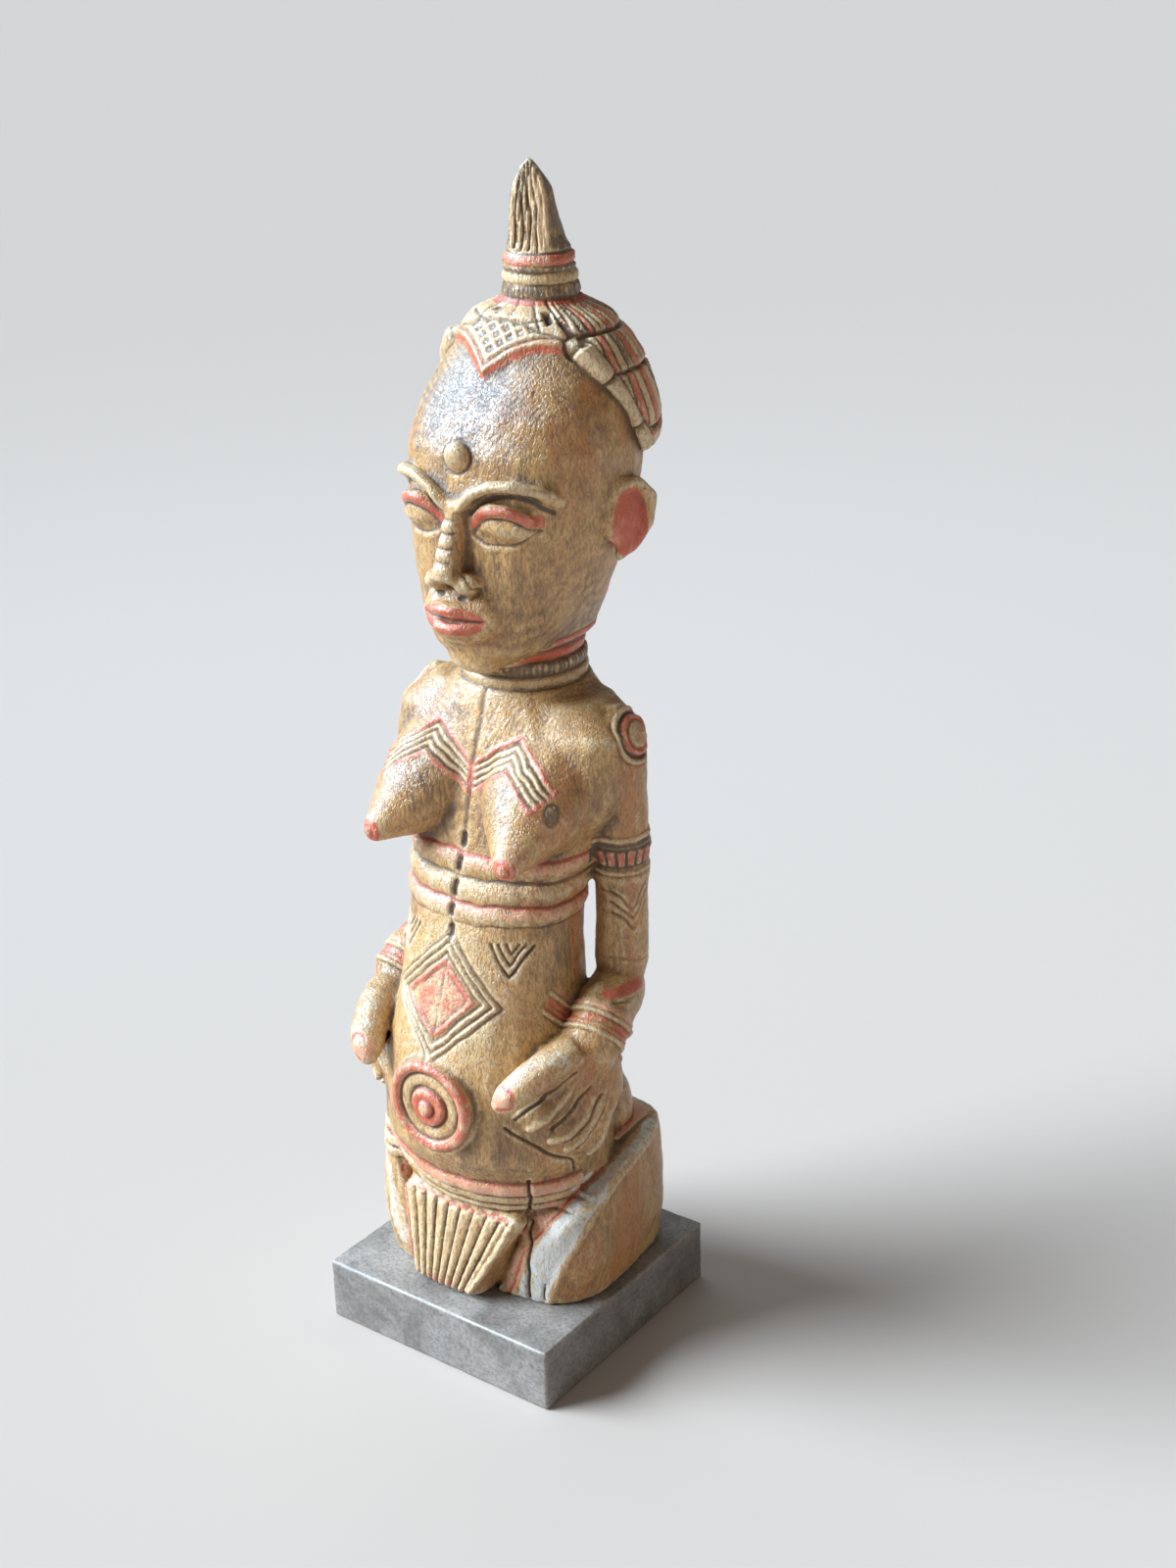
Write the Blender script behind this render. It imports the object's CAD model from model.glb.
"""Builds the looks of a carved and painted wooden figure of a kneeling woman on a black wooden block."""

import math

import bmesh
import bpy
import numpy as np
from bpy.props import FloatProperty, FloatVectorProperty, IntProperty, PointerProperty
from bpy.types import Operator, Panel, PropertyGroup
from mathutils import Matrix, Vector, noise
from mathutils.bvhtree import BVHTree
from mathutils.kdtree import KDTree


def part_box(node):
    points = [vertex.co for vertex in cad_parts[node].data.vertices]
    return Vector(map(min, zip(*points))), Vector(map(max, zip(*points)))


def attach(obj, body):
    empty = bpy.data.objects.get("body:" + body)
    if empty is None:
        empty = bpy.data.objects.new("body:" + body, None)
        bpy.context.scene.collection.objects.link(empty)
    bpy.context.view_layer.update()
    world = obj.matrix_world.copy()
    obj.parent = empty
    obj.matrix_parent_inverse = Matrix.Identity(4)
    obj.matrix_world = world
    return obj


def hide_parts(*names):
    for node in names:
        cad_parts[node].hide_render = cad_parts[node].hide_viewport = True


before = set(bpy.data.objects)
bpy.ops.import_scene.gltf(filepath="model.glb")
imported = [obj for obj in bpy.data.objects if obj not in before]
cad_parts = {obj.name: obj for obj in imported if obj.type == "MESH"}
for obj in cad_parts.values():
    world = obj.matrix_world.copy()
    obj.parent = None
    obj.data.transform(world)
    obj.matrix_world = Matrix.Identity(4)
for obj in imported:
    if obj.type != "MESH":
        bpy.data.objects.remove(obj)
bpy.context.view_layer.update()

bl_info = {
    "name": "Carved Wooden Figure",
    "version": (1, 0, 0),
    "blender": (4, 5, 0),
    "location": "View3D > Sidebar > Figure",
    "description": "Carves, paints and stages a kneeling wooden figure on its block",
    "category": "Add Mesh",
}

# the frame is in metres, and the carving works in millimetres
MM = 0.001
PIGMENTS = ("red", "rose", "cream", "chalk", "dark", "raw", "black")

# in millimetres: the depth of a stroke with nothing worn away, how far past its edge a stroke can fray,
# how far a line drawn by hand strays, and the step between the points of a line
FAR = 9.0
FRAY = 1.6
WANDER = 0.7
STEP = 1.4

# in millimetres: how far smoothing reaches on the bare body, over a valley, in a filled valley and over the
# finished carving, and how far it reaches to find small and large hollows
BODY_REACH = 3.4
VALLEY_REACH = 8.8
FILL_REACH = 2.3
CARVED_REACH = 0.8
NEAR_REACH = 1.9
BROAD_REACH = 7.2

# in millimetres: points of the CAD body closer than this are one point
WELD = 0.002

NEIGHBOURS = 4


# ---------------------------------------------------------------- settings


def colour(name, description, default):
    return FloatVectorProperty(
        name=name, description=description, default=default, size=4, subtype="COLOR", min=0, max=1
    )


def number(name, description, default, unit="NONE"):
    return FloatProperty(name=name, description=description, default=default, unit=unit)


def whole(name, description, default):
    return IntProperty(name=name, description=description, default=default)


class CarvingSettings(PropertyGroup):
    cell: number("Cell", "Edge of one cell of the carved skin", 0.80 * MM, "LENGTH")
    relief: number("Relief", "Depth of the ornament as a share of the real depth", 1.0)
    ripple: number("Ripple", "Height of the uneven tool work", 0.30 * MM, "LENGTH")
    fill_rounds: whole("Fill Rounds", "How many times the valleys between the fingers are filled", 3)
    triangles: whole("Triangles", "How many triangles the finished skin keeps", 194000)


class WoodSettings(PropertyGroup):
    light: colour("Light Wood", "Rubbed ochre wood", (0.600, 0.355, 0.126, 1))
    deep: colour("Deep Wood", "Brown patina of the handled wood", (0.125, 0.060, 0.027, 1))
    warm: colour("Warm Wood", "Orange heartwood where the patina is thin", (0.520, 0.200, 0.052, 1))
    bleached: colour("Bleached Wood", "High places that hands have rubbed pale", (0.700, 0.560, 0.350, 1))
    raw: colour("Raw Wood", "Broken wood of the topknot", (0.780, 0.540, 0.290, 1))
    red: colour("Red Pigment", "Orange red earth pigment", (0.560, 0.085, 0.034, 1))
    rose: colour("Rose Wash", "Red pigment rubbed down to a thin pink", (0.760, 0.320, 0.215, 1))
    cream: colour("Cream Pigment", "Pale clay pigment", (0.700, 0.505, 0.270, 1))
    chalk: colour("Chalk", "Cool white chalk left on the limbs", (0.660, 0.700, 0.695, 1))
    dark: colour("Dark Pigment", "Greyish brown soot", (0.088, 0.064, 0.045, 1))


class BlockSettings(PropertyGroup):
    edge: number("Edge", "Radius of the edges", 1.3 * MM, "LENGTH")
    paint: colour("Black Paint", "Satin black paint of the block", (0.050, 0.046, 0.043, 1))
    dust: colour("Dust", "Grey bloom on the paint", (0.400, 0.375, 0.350, 1))


class StageSettings(PropertyGroup):
    floor: colour("Floor", "Plain pale floor", (0.560, 0.510, 0.470, 1))
    lens: number("Lens", "Focal length of the camera", 52.18, "CAMERA")
    window: number("Window", "Strength of the broad light from the window", 8.2)
    sheen: number("Sheen", "Strength of the cool light seen in the gloss only", 7.5)
    sky: number("Sky", "Power of the cool light from above", 5.0, "POWER")
    fill: number("Fill", "Power of the warm fill light", 2.4, "POWER")


# ---------------------------------------------------------------- lines and strokes


def eased(share):
    """1 at 0 and 0 at 1, rounded at both ends."""
    share = np.clip(share, 0, 1)
    return 1 - share * share * (3 - 2 * share)


def dense(points):
    """The points of a broken line, set close together."""
    points = np.asarray(points, float)
    line = [points[:1]]
    for start, end in zip(points[:-1], points[1:]):
        count = max(1, math.ceil(np.linalg.norm(end - start) / STEP))
        line.append(start + (end - start) * np.arange(1, count + 1)[:, None] / count)
    return np.concatenate(line)


def curved(points):
    """A smooth line through the points, set close together."""
    points = np.asarray(points, float)
    before, after = 2 * points[:1] - points[1:2], 2 * points[-1:] - points[-2:-1]
    padded = np.concatenate([before, points, after])
    line = [points[:1]]
    for a, b, c, d in zip(padded[:-3], padded[1:-2], padded[2:-1], padded[3:]):
        count = max(1, math.ceil(np.linalg.norm(c - b) / STEP))
        t = np.arange(1, count + 1)[:, None] / count
        square, cube = 2 * a - 5 * b + 4 * c - d, 3 * b - a - 3 * c + d
        line.append(0.5 * (2 * b + (c - a) * t + square * t**2 + cube * t**3))
    return np.concatenate(line)


def away_from(points, line):
    """How far each point is from a line, and how far along the line its nearest place is."""
    line = np.asarray(line, float)
    best = np.full(len(points), np.inf)
    place = np.zeros(len(points))
    run = 0.0
    for start, end in zip(line[:-1], line[1:]):
        step = end - start
        length = math.sqrt(step @ step) or 1e-9
        share = np.clip((points - start) @ step / length**2, 0, 1)
        gap = np.linalg.norm(points - start - share[:, None] * step, axis=1)
        closer = gap < best
        best[closer] = gap[closer]
        place[closer] = run + share[closer] * length
        run += length
    return best, place


def strayed(point):
    """A point moved a little, the same way each time, like a tool held by hand."""
    point = Vector(point)
    return point + noise.noise_vector(point / 7) * WANDER


class Throw:
    """Throws lines onto the uncarved skin, in millimetres. A line runs straight from point to point, or with
    bend smoothly through them."""

    def __init__(self, tree):
        self.tree = tree

    def rays(self, starts, way):
        """The places that rays hit, with the slight wander of a gouge held by hand."""
        found = [self.tree.ray_cast(strayed(start), Vector(way))[0] for start in starts]
        return np.array([point for point in found if point is not None], float).reshape(-1, 3)

    def front(self, points, bend=False):
        """Points given as (X, Z), seen from the front."""
        line = (curved if bend else dense)(points)
        return self.rays([(x, -200, z) for x, z in line], (0, 1, 0))

    def back(self, points):
        """A smooth line through points given as (X, Z), seen from the back."""
        return self.rays([(x, 200, z) for x, z in curved(points)], (0, -1, 0))

    def side(self, points):
        """A straight line through points given as (Y, Z), seen from the side of +X."""
        return self.rays([(200, y, z) for y, z in dense(points)], (-1, 0, 0))

    def snap(self, points, bend=False):
        """Points near the skin are moved onto it."""
        line = (curved if bend else dense)(points)
        return np.array([self.tree.find_nearest(strayed(point))[0] for point in line], float)


class Skin:
    """Points of the skin before carving, and what gouge and brush do at each, in millimetres."""

    def __init__(self, points):
        self.points = points
        self.raised = np.zeros(len(points))
        self.sunk = np.zeros(len(points))
        self.paint = {name: np.full(len(points), -FAR) for name in PIGMENTS}
        self.patina = np.zeros(len(points))

    def near(self, line, limit):
        """The numbers of the points within limit of a line, and how far each is from it."""
        if len(line) < 2:
            return np.empty(0, int), np.empty(0)
        low, high = line.min(0) - limit, line.max(0) + limit
        found = np.flatnonzero(((self.points > low) & (self.points < high)).all(1))
        away = away_from(self.points[found], line)[0]
        inside = away < limit
        return found[inside], away[inside]

    def groove(self, line, half, depth):
        found, away = self.near(line, half)
        self.sunk[found] = np.maximum(self.sunk[found], depth * eased(away / half))

    def ridge(self, line, half, height):
        found, away = self.near(line, half)
        self.raised[found] = np.maximum(self.raised[found], height * eased(away / half) ** 0.7)

    def brush(self, name, line, half, full=FAR):
        found, away = self.near(line, half + FRAY)
        self.cover(name, np.minimum(half - away, full), found)

    def draw(self, line, groove=None, ridge=None, **strokes):
        """Cuts a line as a groove or leaves it as a ridge, given as a half width and a depth or height. Then
        brushes pigments over it, each given as a half width and, if it is worn, how much is left."""
        if groove:
            self.groove(line, *groove)
        if ridge:
            self.ridge(line, *ridge)
        for name, stroke in strokes.items():
            self.brush(name, line, *stroke)

    def tone(self, line, half, strength):
        """Darkens the patina along a line, or lightens it where strength is below 0."""
        found, away = self.near(line, half)
        self.patina[found] += strength * eased(away / half)

    def spot(self, centre, radius, strength):
        """A round place where the patina is darker, or lighter where strength is below 0."""
        gap = np.linalg.norm((self.points - centre) / radius, axis=1)
        self.patina += strength * eased(gap)

    def lay(self, name, inside, where, full=FAR):
        """Covers a place with a pigment. inside says how deep in the stroke each point of the skin lies, and
        full how much of it is left: near 0 it is worn to patches."""
        found = np.flatnonzero(where & (inside > -FRAY))
        self.cover(name, np.minimum(inside[found], full), found)

    def lay_bands(self, value, where, *rows):
        """Lays pigments, each between two limits of value, and each over the ones before it."""
        for low, high, name, *full in rows:
            self.lay(name, within(value, low, high), where, *full)

    def cover(self, name, inside, found):
        for other, depth in self.paint.items():
            if other == name:
                depth[found] = np.maximum(depth[found], inside)
            else:
                depth[found] = np.minimum(depth[found], -inside)

    def sink(self, depth, where):
        self.sunk[where] = np.maximum(self.sunk[where], depth[where])

    def raise_(self, height, where):
        self.raised[where] = np.maximum(self.raised[where], height[where])

    def cut(self, value, where, *rows):
        """Sinks the skin where value is near a level. A row gives the level, a half width and a depth."""
        for level, half, depth in rows:
            self.sink(depth * eased(abs(value - level) / half), where)

    def swell(self, value, where, *rows):
        """Raises the skin where value is near a level. A row gives the level, a half width and a height."""
        for level, half, rise in rows:
            self.raise_(rise * eased(abs(value - level) / half), where)

    def round_bands(self, value, where, *rows):
        """Half-round bands, each between two limits of value and with a fine cut along both its edges."""
        for low, high, rise in rows:
            middle, half = (low + high) / 2, (high - low) / 2
            share = np.clip(abs(value - middle) / half, 0, 1)
            self.raise_(rise * np.sqrt(1 - share**2), where & (share < 1))
            self.cut(value, where, (low, 0.8, 0.55), (high, 0.8, 0.55))


def within(value, low, high):
    """How deep a value lies between two limits."""
    return np.minimum(value - low, high - value)


def both(line):
    """A line, and its mirror image on the other side of the figure."""
    return line, np.asarray(line, float) * (-1, 1, 1)


def mixed(outer, inner, share):
    """A line between two lines, at outer where share is 0 and at inner where it is 1."""
    return np.asarray(outer, float) * (1 - share) + np.asarray(inner, float) * share


# ---------------------------------------------------------------- where the limbs are

UPPER_ARM = (
    (44, 20, 291), (46, 18, 282), (46.5, 18.5, 255), (47, 19.5, 215), (47, 19, 185), (46.5, 18, 156),
)

# a place on the axis of the wrist, and of the disc on the shoulder, with the way the axis runs
WRIST = (np.array((55.0, -8.0, 160.0)), np.array((-0.10, 0.755, 0.648)))
ROUNDEL = (np.array((56.3, 20.5, 280.5)), np.array((0.93, 0.10, 0.35)))

# how far the hairline runs back for each step outward, the side edge of the hair, and the height of its
# lower rim at each Y
HAIR_SLOPE = 0.64
HAIR_EDGE = (
    (31, 20, 433.6), (36.5, 22.5, 427.5), (41, 26.5, 420), (42.5, 31, 411), (43.5, 37, 401), (44, 43, 393),
)
HAIR_FLOOR = (
    (-30, 404), (20, 424), (27, 418), (34, 408), (40, 396), (45, 390), (56, 388.5), (68, 392), (95, 397),
)

# one mesh of the net in millimetres, one strand of the hair in degrees, and the Y of the topknot's axis
NET_PITCH = 3.6
STRAND_DEGREES = 6.6
KNOT_Y = 37

# short dark holes below the topknot: place, turn, half length and half width, depth
HOLES = (
    ((16.8, 19.8, 442.9), 0.6, (2.3, 1.1), 2.8), ((24.7, 21.2, 439.5), 0.0, (3.4, 0.7), 2.2),
    ((30.8, 22.9, 435.2), 0.3, (1.6, 1.4), 2.8), ((-7.2, 19.1, 444.6), 0.2, (1.3, 1.2), 1.0),
)
FLUTES = 9


def right_half(points):
    """The points, with those of the figure's left side brought over to its right side, +X."""
    return np.column_stack([abs(points[:, 0]), points[:, 1:]])


def strips(value, pitch):
    """Splits a value into strips as wide as pitch: 0 in the middle of each strip and 1 at its edges."""
    return abs((value / pitch) % 1 - 0.5) * 2


# ---------------------------------------------------------------- ornament


def carve_hair(skin, throw):
    x, y, z = skin.points.T
    lean = math.hypot(1, HAIR_SLOPE)
    arms = [(y + 1 - slope * x) / lean for slope in (HAIR_SLOPE, -HAIR_SLOPE)]
    behind = np.minimum(*arms)
    above = z - np.interp(y, *zip(*HAIR_FLOOR))
    cap = (behind > -0.6) & (above > -0.8) & (z < 448.5)
    turn = np.degrees(np.arctan2(x, 35 - y))
    edge, run = away_from(right_half(skin.points), HAIR_EDGE)
    top = np.interp(abs(x), (0, 17, 31), (13.6, 13.8, 19.6))
    strip = cap & (edge < 5.6)
    front = cap & ~strip & (y < top) & (abs(turn) < 66)
    crown = cap & ~strip & ~front & (abs(turn) < 60) & (z > 433)
    back = cap & ~strip & ~front & ~crown

    # the whole cap starts pale
    skin.lay("cream", np.minimum(np.minimum(behind, above), 449 - z), cap)

    # hairline: a raised pale cord between two red lines, then a groove and a second pale cord
    skin.lay_bands(behind, front, (-0.5, 0.25, "red"), (0.8, 1.25, "red"))
    skin.swell(behind, front, (0.5, 0.4, 0.5), (2.2, 0.5, 0.6))
    skin.cut(behind, front, (1.6, 0.5, 1.3))

    # net: pale raised cords, and a square of brown wood sunk in each mesh
    net = front & (behind > 2.8)
    cord = np.minimum(*(abs((arm - 2.8 + NET_PITCH / 2) % NET_PITCH - NET_PITCH / 2) for arm in arms))
    skin.swell(cord, net, (0, 0.7, 0.45))
    skin.cut(cord, net, (1.0, 0.45, 0.9))
    skin.lay("wood", cord - 0.6, net)
    skin.patina[net] += 0.7 * eased((1.5 - cord[net]) / 0.9)
    skin.lay("dark", 0.28 - abs(cord - 1.0), net & (np.sin(x * 1.3 + y * 2.1) > 0.1))
    skin.cut(y, (front | crown) & (abs(x) < 31), (top, 0.9, 1.7))

    # blocks round the foot of the topknot, with short dark holes between them
    for angle, wide, deep in (
        (-34, 2.6, 1.2), (36, 2.2, 1.0), (-14, 2.0, 1.0), (56, 2.6, 1.4), (8, 1.8, 0.7),
    ):
        seam = abs(turn - angle + (z - 443) * 0.8)
        skin.sink(1.4 * deep * eased(seam / wide), crown)
        skin.lay("dark", (wide * 0.45 - seam) * 0.4, crown, 0.3)
    out = np.hypot(x, y - KNOT_Y)
    skin.cut(out, crown, (25.0, 0.9, 1.3))
    skin.lay("dark", 0.35 - abs(out - 25.0), crown, 0.3)
    for place, tilt, half, deep in HOLES:
        offset = skin.points - place
        along = offset[:, 0] * math.cos(tilt) - offset[:, 1] * math.sin(tilt)
        over = offset[:, 0] * math.sin(tilt) + offset[:, 1] * math.cos(tilt)
        inside = np.minimum(half[0] - abs(along), half[1] - abs(over))
        hole = (np.linalg.norm(offset, axis=1) < 7) & (inside > -1)
        skin.sink(deep * eased(-inside / 0.8), hole)
        skin.lay("black", inside, hole)
    skin.raise_(0.9 * eased(abs(out - 22.5) / 4.5) ** 0.5, crown)

    # large blocks down the side edge
    skin.cut(edge, cap, (5.6, 1.3, 2.5))
    skin.cut(run, strip, *((place, 1.4, 2.6) for place in (0.6, 17.8, 41.0)))
    skin.raise_(2.2 * eased(edge / 5.6) ** 0.6, strip)
    skin.lay("wood", 5.2 - edge, strip)
    skin.patina[strip] -= 0.9

    # rows of long strands over the back, and the thick rim under them
    rows = (422.0, 437.0)
    skin.cut(z, back, *((level, 1.4, 2.3) for level in rows))
    rim = 9.5 + 1.5 * np.sin(np.radians(turn * 3))
    skin.cut(above, back, (rim, 1.4, 2.6))
    row = np.digitize(z, rows)
    slanted = abs(turn) + 0.22 * (z - 420) + row * 2.3
    strand = np.floor(slanted / STRAND_DEGREES).astype(int)
    middle = abs(slanted / STRAND_DEGREES - strand - 0.5) * 2
    strands = back & (above > rim + 1)
    skin.sink(1.9 * np.clip((middle - 0.55) / 0.45, 0, 1) ** 1.3, strands)
    wide = np.hypot(x, y - 35) * math.radians(STRAND_DEGREES) / 2
    draw = (strand * 7 + row * 5 + (x > 0) * 3) % 8
    for name, numbers in (("red", (0, 3, 5)), ("dark", (1,)), ("wood", (6,))):
        skin.lay(name, (0.8 - middle) * wide, strands & np.isin(draw, numbers))
    skin.lay("dark", (middle - 0.84) * wide, strands)
    skin.lay("wood", rim - 1 - above, back & (above < rim - 0.5))
    skin.lay("red", within(above, rim - 3.5, rim - 1.2), back)


def carve_topknot(skin, throw):
    x, y, z = skin.points.T
    knot = (z > 445.5) & (np.hypot(x, y - KNOT_Y) < 19)
    for low, high, name in (
        (446.0, 448.6, "red"), (448.6, 453.4, "dark"), (453.4, 457.7, "cream"),
        (457.7, 460.4, "dark"), (460.4, 464.8, "red"),
    ):
        skin.lay(name, within(z + 0.5 * np.sin(x * 0.35 + low), low, high), knot, 0.3)
    hatch = strips(np.degrees(np.arctan2(x, KNOT_Y - y)), 8)
    skin.cut(hatch, knot & (z > 448.4) & (z < 460), (0, 0.6, 0.45))
    skin.cut(z, knot, *((level, 0.9, 0.9) for level in (448.2, 453.4, 457.8, 460.4, 465.2)))

    # the top is split off in front: raw wood with deep splits down it
    face = -0.3 * x + 0.95 * (y - 28) - 0.08 * (z - 482)
    across = 0.95 * x + 0.3 * (y - 28)
    split = knot & (z > 463.5) & (face < 1.6) & (face > -4)
    skin.lay("dark", z - 464.8, knot & (z > 463))
    skin.lay("raw", np.minimum(z - 465.6, (1.4 - face) * 1.5), split)
    for place, depth, half, foot in (
        (-8.2, 0.5, 0.6, 470), (-6.4, 0.7, 0.6, 466), (-4.6, 0.9, 0.6, 466), (-3.2, 1.6, 1.0, 466),
        (-1.7, 1.0, 0.6, 466), (-0.4, 1.5, 0.8, 466), (0.9, 1.0, 0.6, 470), (2.2, 1.5, 0.7, 466),
        (3.5, 0.9, 0.6, 474), (4.6, 1.2, 0.6, 466), (6.0, 0.8, 0.6, 466), (7.4, 0.7, 0.6, 466),
    ):
        wander = place + 0.35 * np.sin(z * 0.31 + place * 2) + 0.02 * place * (482 - z)
        line = abs(across - wander)
        skin.sink(depth * 1.2 * eased(line / half), split & (z > foot) & (face < 1.2))
        skin.lay("dark", half * 0.5 - line, split & (z > foot) & (line < 2) & (depth > 0.95), 0.3)


def carve_neck(skin, throw):
    x, y, z = skin.points.T
    neck = (np.hypot(x, y - 21) < 32) & (z > 294.5) & (z < 320)
    for low, high, name, full, rise in (
        (297.4, 301.8, "cream", 0.1, 1.2), (301.8, 308.0, "dark", 0.4, 0.9), (308.4, 312.6, "red", 0.4, 1.0),
        (312.9, 315.0, "dark", 0.4, 0.3), (315.0, 318.6, "red", 0.4, 0.8),
    ):
        skin.lay_bands(z, neck, (low, high, name, full))
        skin.round_bands(z, neck, (low, high, rise))
    hatch = strips(np.degrees(np.arctan2(x, 21 - y)), 5.5)
    skin.cut(hatch, neck & (z > 302.2) & (z < 307.8), (0, 0.6, 0.5))


def carve_chest(skin, throw):
    outer = [(0.4, 268.2), (11.2, 275.9), (20.5, 281.6), (33.5, 274.1), (43.3, 265.0)]
    inner = [(1.2, 256.4), (12.7, 264.8), (20.8, 269.9), (29.8, 265.0), (37.4, 258.6)]
    edges = [(mixed(outer, inner, share), 0.55) for share in (0.04, 0.96)]
    edges += [([outer[end], inner[end]], 0.5) for end in (0, -1)]
    for sign in (1, -1):
        def drawn(points):
            return throw.front([(sign * px, pz) for px, pz in points])

        # a chevron with three pale lines inside a red edge
        for share in (0.28, 0.5, 0.72):
            skin.draw(drawn(mixed(outer, inner, share)), ridge=(1.0, 0.5), cream=(0.95,))
        for share in (0.17, 0.39, 0.61, 0.83):
            skin.groove(drawn(mixed(outer, inner, share)), 0.75, 1.0)
        for points, rise in edges:
            skin.draw(drawn(points), ridge=(1.4, rise), rose=(1.5,), red=(0.8,))

        # nipple: a red tip with a cut ring behind it
        gap = np.linalg.norm(skin.points - (sign * 35.3, -45.5, 238.4), axis=1)
        skin.lay("red", 6.8 - gap, gap < 10)
        skin.cut(gap, gap < 6, (3.6, 0.9, 0.8))
        skin.lay("dark", 1.6 - gap, gap < 4)

    # breastbone
    skin.groove(throw.front([(0, 296), (0.6, 282), (0, 262), (0, 236)], True), 2.2, 1.0)


def carve_waist(skin, throw):
    x, y, z = skin.points.T
    arm, _ = away_from(right_half(skin.points), UPPER_ARM)
    torso = (arm > 13.9) | ((abs(x) < 38) & (y < 8))
    breast = (y < np.interp(z, (228, 236), (-36, -29))) & (abs(x) > 8)
    waist = torso & (z > 196) & (z < 240) & ~breast
    level = z + 0.35 * np.sin(x * 0.21) + 0.25 * np.sin(x * 0.53 + 1)
    skin.lay("wood", within(level, 204.0, 234.0), waist)
    skin.round_bands(level, waist, (223.2, 232.4, 0.25), (213.2, 222.8, 0.3), (204.8, 213.0, 0.25))
    skin.lay_bands(
        level, waist, (227.6, 231.6, "rose", 0.15), (231.2, 233.0, "red", 0.6), (217.6, 221.8, "cream", 0.1),
        (208.4, 212.2, "rose", 0.15), (212.0, 213.6, "red", 0.6),
    )

    # leaf-shaped notches down the middle, one to each ridge
    for low, high in ((233.6, 240.5), (224.0, 231.4), (214.2, 221.8), (205.8, 212.0), (196.0, 203.6)):
        notch = throw.front([(-0.3, low + 1.5), (-0.3, high - 1.5)])
        skin.draw(notch, groove=(2.5, 2.3), dark=(1.4, 0.35))


def carve_belly(skin, throw):
    x, y, z = skin.points.T
    outer = [(0.2, 198.6), (25.2, 171.8), (-1.0, 147.0), (-28.2, 170.6)]
    inner = [(-1.0, 186.6), (13.4, 173.4), (-1.4, 157.8), (-18.2, 170.0)]

    def nested(share):
        ring = mixed(outer, inner, share)
        return throw.front(np.concatenate([ring, ring[:1]]))

    # nested diamonds: pale ridges between cuts, round a red core with a red ridge
    for share in (0.06, 0.42):
        skin.draw(nested(share), ridge=(1.25, 0.75), cream=(0.55, 0.2))
    for share in (-0.12, 0.24, 0.62):
        skin.groove(nested(share), 0.95, 0.95)
    core, across = nested(1.3), throw.front([(-10, 172), (6, 173)])
    for name, full in (("rose", FAR), ("red", 0.0)):
        skin.brush(name, core, 3.4, full)
        skin.brush(name, across, 6.2, full)
    skin.draw(nested(0.88), ridge=(1.3, 0.7), red=(1.0,))
    skin.groove(nested(1.08), 0.8, 0.55)

    # small cut chevrons beside it
    for sign in (1, -1):
        for points, deep in (
            ([(18.6, 197.6), (26.8, 184.6), (33.0, 197.0)], 1.5),
            ([(21.6, 198.0), (26.9, 189.6), (30.8, 197.6)], 1.3),
            ([(24.4, 198.2), (27.0, 193.8), (29.0, 197.8)], 1.1),
        ):
            line = throw.front([(sign * px, pz) for px, pz in points])
            skin.draw(line, groove=(1.0, deep), dark=(0.3,))

    # navel disc: red rim with a pale inner line, plain ring, red boss with a cut round its knob
    ring = np.hypot(x, z - 126.5)
    ring += 0.25 * np.sin(np.arctan2(x, z - 126.5) * 3 + 1)
    disc = (y < -45) & (ring < 24)
    skin.lay_bands(
        ring, disc, (16.4, 20.9, "red", 0.9), (15.0, 16.4, "rose"), (9.4, 14.6, "wood"),
        (11.0, 13.6, "cream", 0.0), (-1, 9.0, "red", 0.8), (-1, 2.6, "rose", 0.2), (21.6, 22.6, "cream", 0.2),
    )
    skin.cut(ring, disc, (21.3, 0.9, 0.6), (15.2, 1.0, 1.2), (9.4, 1.0, 1.3), (4.3, 0.9, 1.0))
    skin.swell(ring, disc, (18.3, 2.6, 0.7), (12.4, 2.8, 0.6), (7.0, 2.2, 0.5))


def carve_belt(skin, throw):
    x, y, z = skin.points.T
    leg = (abs(x) > 44) & (y > -14)
    girdle = (z > 70) & (z < 98) & ~leg & (y < 45)
    level = z - 4.5 * np.clip(-x / 22, 0, 1) ** 2 * (y < -20)
    skin.lay("wood", within(level, 74.0, 91.8), girdle)
    skin.round_bands(level, girdle, (84.6, 91.4, 1.5), (79.2, 84.0, 1.1), (74.6, 78.8, 0.9))
    skin.lay_bands(
        level, girdle, (85.8, 90.4, "rose", 0.6), (84.3, 85.8, "red", 0.7), (90.6, 91.9, "red", 0.5),
        (80.2, 83.4, "cream", 0.2), (75.6, 78.0, "cream", 0.2),
    )
    skin.cut(level, girdle, (84.1, 0.9, 1.0))


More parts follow.
